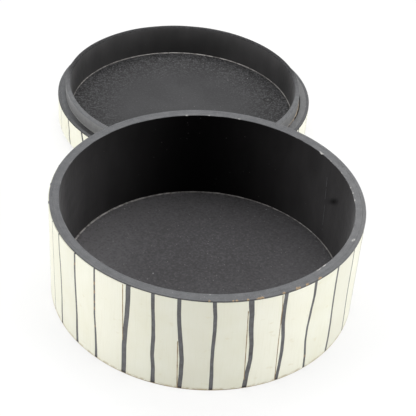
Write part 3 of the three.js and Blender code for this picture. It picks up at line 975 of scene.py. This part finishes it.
def collar_shape():
    """The collar, with its top edges rounded over."""
    profile = [[COLLAR_BORE_RADIUS, RING_FOOT], [COLLAR_RADIUS, RING_FOOT]]
    profile += [[COLLAR_RADIUS, height] for height in np.linspace(LID_HEIGHT, COLLAR_TOP - 1, 6)]
    profile += round_corner(COLLAR_RADIUS - 1, COLLAR_TOP - 1, 1, 0, 6)[1:]
    profile += round_corner(COLLAR_BORE_RADIUS + 1.1, COLLAR_TOP - 1.1, 1.1, 90, 6)
    profile += [[COLLAR_BORE_RADIUS, height]
                for height in np.linspace(COLLAR_TOP - 2, RING_FOOT + 1, 16)]
    points, faces = turned(profile, SEGMENTS, LID_CENTRE)
    roughen(points, LID_CENTRE, 0.08, 11)
    return points, faces


def collar_painted_shade(points):
    """Painted shade: near black on the back half of the collar's top and down in the joint."""
    inside = 0.9 + 0.1 * (reach_of(points, LID_CENTRE) < COLLAR_RADIUS - 1)
    top = on_side(points, UNLIT_SIDE, 4.16, 25, LID_CENTRE) * (points[:, 2] > COLLAR_TOP - 1.3)
    return np.maximum(inside * top, points[:, 2] < LID_HEIGHT - 0.4)


def collar_painted_light(points):
    """Painted light: paler paint down the collar's outside, as if it caught light, most of it in a
    line at the foot, against the shade in the corner.
    """
    outside = points[:, 2] < COLLAR_TOP - 0.9
    return 0.02 + 0.11 * outside + 0.25 * np.clip((LID_HEIGHT + 1.3 - points[:, 2]) / 0.8, 0, 1)


def collar_haze(points):
    """Painted sheen on the collar's inner wall, most of it at the top and to both sides of the back,
    as where light falls on it.
    """
    up = np.clip((points[:, 2] - BOARD_TOP) / (COLLAR_TOP - BOARD_TOP), 0, 1)
    away = degrees_from(points, UNLIT_SIDE, LID_CENTRE)
    aside = 0.24 * np.clip((away - 12) / 22, 0, 1) - 0.12 * np.clip((away - 62) / 14, 0, 1)
    return np.clip(0.27 + aside + 0.64 * up ** 2.6, 0, 1)


def edge_shape(start_cut, start_side, end_cut, end_side, top, columns, sink, margin):
    """Bone or resin over the lid's shoulder and up its side, from one cut's side to another's."""
    path = round_corner(SHOULDER_END, SHOULDER_RADIUS, SHOULDER_RADIUS, -90, 8)
    path += [[OUTER_RADIUS, height] for height in np.linspace(SHOULDER_RADIUS, top, 15)[1:]]
    radius, height = np.array(path).T[..., None]
    share = height[:, 0] / LID_HEIGHT
    start = cut_edge(start_cut, share, start_side) + margin / OUTER_RADIUS
    end = cut_edge(end_cut, share, end_side) - margin / OUTER_RADIUS
    angle = start[:, None] + np.outer(end - start, np.linspace(0, 1, columns))
    inner = polar(np.minimum(radius, BONE_INNER_RADIUS), angle, np.maximum(height, TOP_BONE), BONE_CENTRE)
    slope = np.minimum(height / SHOULDER_RADIUS - 1, 0)
    radius = radius - sink * np.sqrt(1 - slope ** 2)
    return slab(polar(radius, angle, height - sink * slope, BONE_CENTRE), inner)


def top_cut(index):
    """A cut across the lid's top, running from front to back."""
    pitch = 2 * TOP_BONE_RADIUS / TOP_STRIP_COUNT
    return {**varied_cut(index, 0), "offset": pitch * (index - TOP_STRIP_COUNT / 2)}


def top_edge(index, side, y):
    """The side of a top strip at a distance y along it."""
    if index in (0, TOP_STRIP_COUNT):
        return np.full(len(y), -side * (TOP_BONE_RADIUS - 0.05))
    cut = top_cut(index)
    share = (y / OUTER_RADIUS + 1) / 2
    return cut["offset"] + wander(cut, share) + side * cut_width(cut, share) / 2


def top_slab(left, left_side, right, right_side, radius, columns, low, margin):
    """A slab across the lid's top between two cut sides, ended by a circle."""
    across = np.linspace(0, 1, columns)
    ends = []
    for sign in (-1, 1):
        y = np.zeros(columns)
        for _ in range(6):
            x = (1 - across) * top_edge(left, left_side, y) + across * top_edge(right, right_side, y)
            y = sign * np.sqrt(np.maximum(radius ** 2 - x ** 2, 0.01))
        ends.append(y)
    y = np.linspace(*ends, 61)
    start = np.column_stack([top_edge(left, left_side, line) for line in y.T]) + margin
    end = np.column_stack([top_edge(right, right_side, line) for line in y.T]) - margin
    x = (1 - across) * start + across * end
    outer = np.stack([x, y, np.full_like(x, low)], -1)[:, ::-1] + [*BONE_CENTRE, 0]
    return slab(outer, outer + [0, 0, TOP_BONE - low])


def lid_resin_shape(cuts):
    """The lid's band, the circle round its top, and the lines over its side and its top."""
    band = band_shape(LID_BAND_FOOT, LID_HEIGHT, BONE_CENTRE)
    back = np.clip(1.5 * np.sin(np.radians(degrees_round(band[0], BONE_CENTRE))), 0, 1)
    set_in(band[0], LID_INSET * back, BONE_CENTRE)
    circle = turned([[CIRCLE_INNER_RADIUS, 0.03], [CIRCLE_RADIUS, 0.03],
                     [CIRCLE_RADIUS, TOP_BONE], [CIRCLE_INNER_RADIUS, TOP_BONE]],
                    SEGMENTS, BONE_CENTRE)
    sides = [edge_shape(cut, -1, cut, 1, LID_BAND_FOOT, 3, 0.04, 0) for cut in cuts]
    tops = [top_slab(index, -1, index, 1, CIRCLE_INNER_RADIUS, 3, 0.04, 0)
            for index in range(1, TOP_STRIP_COUNT)]
    return joined([band, circle, *sides, *tops])


def add_lid_ring():
    """The lid's side ring, with painted shade mottled on its front left beside the box, paler towards
    its right, and the filler in its joint.
    """
    shape = ring_shape()
    add_piece("lid_side_ring", shape, "lid", "black_lacquer", [LID_RIM], ["lid_ring"],
              # painted shade: mottled darker at the front left
              deep=0.9 * on_side(shape[0], -130, 1.4, 20, LID_CENTRE),
              pale=0.11 * on_side(shape[0], 0, 1.3, 55, LID_CENTRE))
    add_piece("lid_joint_filler", filler_shape(), "lid", "black_lacquer", [TAN_FILLER], bright=1)


def add_collar():
    """The lid's collar, lacquered inside with painted sheen, grey on its top and outside, with
    painted shade on the back of its top and in the joint, and painted light down its outside.
    """
    shape = collar_shape()
    points = shape[0]
    collar = add_piece("lid_liner", shape, "lid", "black_lacquer", [LID_LACQUER, LID_RIM],
                       ["lid_collar"], haze=collar_haze(points), deep=collar_painted_shade(points),
                       pale=collar_painted_light(points))
    use_second_material(collar, lambda at: (at[:, 2] > COLLAR_TOP - 0.8)
                        | (reach_of(at, LID_CENTRE) > COLLAR_RADIUS - 1.1))


def add_lid_board():
    field = board_shape(COLLAR_BORE_RADIUS - PANEL_FIT, RING_FOOT, BOARD_TOP, LID_CENTRE)
    base = turned([[0, TOP_BONE], [BONE_INNER_RADIUS, TOP_BONE], [BONE_INNER_RADIUS, RING_FOOT],
                   [0, RING_FOOT]], SEGMENTS, LID_CENTRE)
    shape = joined([base, field])
    add_piece("lid_board", shape, "lid", "charcoal_paint", [PANEL_PAINT], ["lid_panel"],
              edge=near_edge(shape[0], COLLAR_BORE_RADIUS, 30, LID_CENTRE))
    seam = bead_shape(COLLAR_BORE_RADIUS - 0.15, BOARD_TOP - 0.05, LID_CENTRE, **BOARD_SEAM)
    from_back = degrees_from(seam[0], BOARD_SEAM["heavy_side"], LID_CENTRE)
    add_piece("lid_board_seam", seam, "lid", "charcoal_paint", [FILLER],
              bright=np.clip(1.3 - from_back / 50, 0.4, 1))


def add_lid_resin(cuts):
    """The lid's dark resin, a little darker all over, and nearly black on the side of its band as
    painted shade.
    """
    shape = lid_resin_shape(cuts)
    level = shape[0][:, 2]
    band_side = (level > LID_BAND_FOOT - 0.01) & (level < LID_HEIGHT - 0.02)
    add_piece("lid_resin", shape, "lid", "black_resin", [LID_RIM], ["lid_resin_lines"],
              deep=0.3 + 0.65 * band_side)


def add_bone_pairs(place, shapes, digits, tone):
    """The lid's strips in pairs, each of which stands for one CAD node."""
    for pair in range(len(shapes) // 2):
        number = f"{pair + 1:0{digits}d}"
        shape = joined(shapes[2 * pair:2 * pair + 2])
        add_piece(f"lid_{place}_{number}", shape, "lid", "bone", [BONE],
                  [f"lid_{place}_bone_{number}"], bevel=BONE_BEVEL, tone=tone(pair))


def add_lid_bone(cuts):
    """The strips over the lid's edge and those across its top."""
    edges = [edge_shape(cut, 1, next_cut(cuts, index), -1, LID_BAND_FOOT - JOINT, 11, 0, JOINT)
             for index, cut in enumerate(cuts)]
    tops = [top_slab(index, 1, index + 1, -1, TOP_BONE_RADIUS, 13, 0, JOINT)
            for index in range(TOP_STRIP_COUNT)]
    add_bone_pairs("edge", edges, 2, lambda pair: LID_TONE + LID_TONE * math.sin(4.1 * pair))
    add_bone_pairs("top", tops, 1, lambda pair: math.sin(2.9 * pair))


def build_box():
    cuts = box_cuts()
    add_wall()
    add_floor()
    add_rim_band()
    add_foot_edge()
    add_resin_lines(cuts)
    add_strips(cuts)
    add_hairlines()


def build_lid():
    cuts = lid_cuts()
    add_lid_ring()
    add_collar()
    add_lid_board()
    add_lid_resin(cuts)
    add_lid_bone(cuts)


# Stage, light and camera

CAMERA_PLACE = Vector((0, -394.36, 342.06))
CAMERA_PAN = math.radians(0.065)
CAMERA_TILT = math.radians(37.19)
CAMERA_ROLL = math.radians(4.234)
LENS = 96.09
SENSOR = 36

# The world's light, as a share of how white it is seen, and the lamps' place, size and watts
AMBIENT = 0.37
LAMP_TARGET = Vector((0, 60, 20))
SOFTBOXES = {
    "left_softbox": ((-870, -220, 520), (700, 600), 6.2),
    "right_softbox": ((870, -220, 520), (700, 600), 6.25),
    "top_softbox": ((0, 500, 1100), (900, 700), 7.5),
}

# The table: half its size, how far it lies below the box, and the distances from a point between
# which it goes from partly to wholly pure white
TABLE_REACH = 6000
TABLE_DROP = 0.1
TABLE_COLOUR = (0.9, 0.9, 0.9)
WHITE = (1, 1, 1)
SHADOW_CENTRE = Vector((0, 60, 0))
SHADOW_NEAR, SHADOW_FAR = 140, 300
SHADOW_WHITENESS = 0.7


def add_camera():
    """The camera at the photograph's viewing angle, rolled a little."""
    data = bpy.data.cameras.new("camera")
    data.lens = LENS
    data.sensor_width = SENSOR
    camera = add_object("camera", data)
    pan = Matrix.Rotation(-CAMERA_PAN, 4, "Z")
    tilt = Matrix.Rotation(math.pi / 2 - CAMERA_TILT, 4, "X")
    place = Matrix.Translation(CAMERA_PLACE * MM)
    camera.matrix_world = place @ pan @ tilt @ Matrix.Rotation(CAMERA_ROLL, 4, "Z")
    bpy.context.scene.camera = camera


def add_softbox(name, place, size, watts):
    data = bpy.data.lights.new(name, "AREA")
    data.shape = "RECTANGLE"
    data.size, data.size_y = [length * MM for length in size]
    data.energy = watts
    lamp = add_object(name, data)
    lamp.location = Vector(place) * MM
    aim = LAMP_TARGET * MM - lamp.location
    lamp.rotation_euler = aim.to_track_quat("-Z", "Y").to_euler()


def seen_rays(tree):
    """1 for the camera's rays and for those that show the surround in gloss or glass, or else 0."""
    rays = node(tree, "LightPath").outputs
    mirrored = maths(tree, "MAXIMUM", rays["Is Glossy Ray"], rays["Is Transmission Ray"])
    return maths(tree, "MAXIMUM", rays["Is Camera Ray"], mirrored)


def add_world():
    """An even pale surround, seen as white and lighting at a lower level."""
    world = bpy.data.worlds.new("studio")
    world.use_nodes = True
    tree = world.node_tree
    inputs = tree.nodes["Background"].inputs
    link(tree, inputs["Color"], WHITE)
    link(tree, inputs["Strength"], ramp(tree, seen_rays(tree), 0, 1, AMBIENT, 1))
    bpy.context.scene.world = world


def table_finish():
    """Matt white, mostly seen as pure white, with part of the shadow left on it."""
    material = bpy.data.materials.new("white_table")
    material.use_nodes = True
    tree = material.node_tree
    tree.nodes.remove(tree.nodes["Principled BSDF"])
    matt = node(tree, "BsdfDiffuse", {"Color": TABLE_COLOUR})
    white = node(tree, "Emission", {"Color": WHITE, "Strength": 1.0})
    place = node(tree, "TexCoord").outputs["Object"]
    away = vector_maths(tree, "DISTANCE", place, SHADOW_CENTRE * MM, "Value")
    pure = ramp(tree, away, SHADOW_NEAR * MM, SHADOW_FAR * MM, SHADOW_WHITENESS, 1)
    both = node(tree, "MixShader", {
        0: times(tree, seen_rays(tree), pure), 1: matt.outputs["BSDF"],
        2: white.outputs["Emission"]})
    link(tree, tree.nodes["Material Output"].inputs["Surface"], both.outputs["Shader"])
    return material


def add_table():
    mesh = bpy.data.meshes.new("table")
    size = TABLE_REACH * MM
    mesh.from_pydata([(-size, -size, 0), (size, -size, 0), (size, size, 0), (-size, size, 0)],
                     [], [(0, 1, 2, 3)])
    mesh.materials.append(table_finish())
    table = add_object("table", mesh)
    table.location.z = -TABLE_DROP * MM


build_box()
build_lid()
add_camera()
add_world()
add_table()
for name, (place, size, watts) in SOFTBOXES.items():
    add_softbox(name, place, size, watts)
bpy.context.scene.view_settings.view_transform = "Standard"
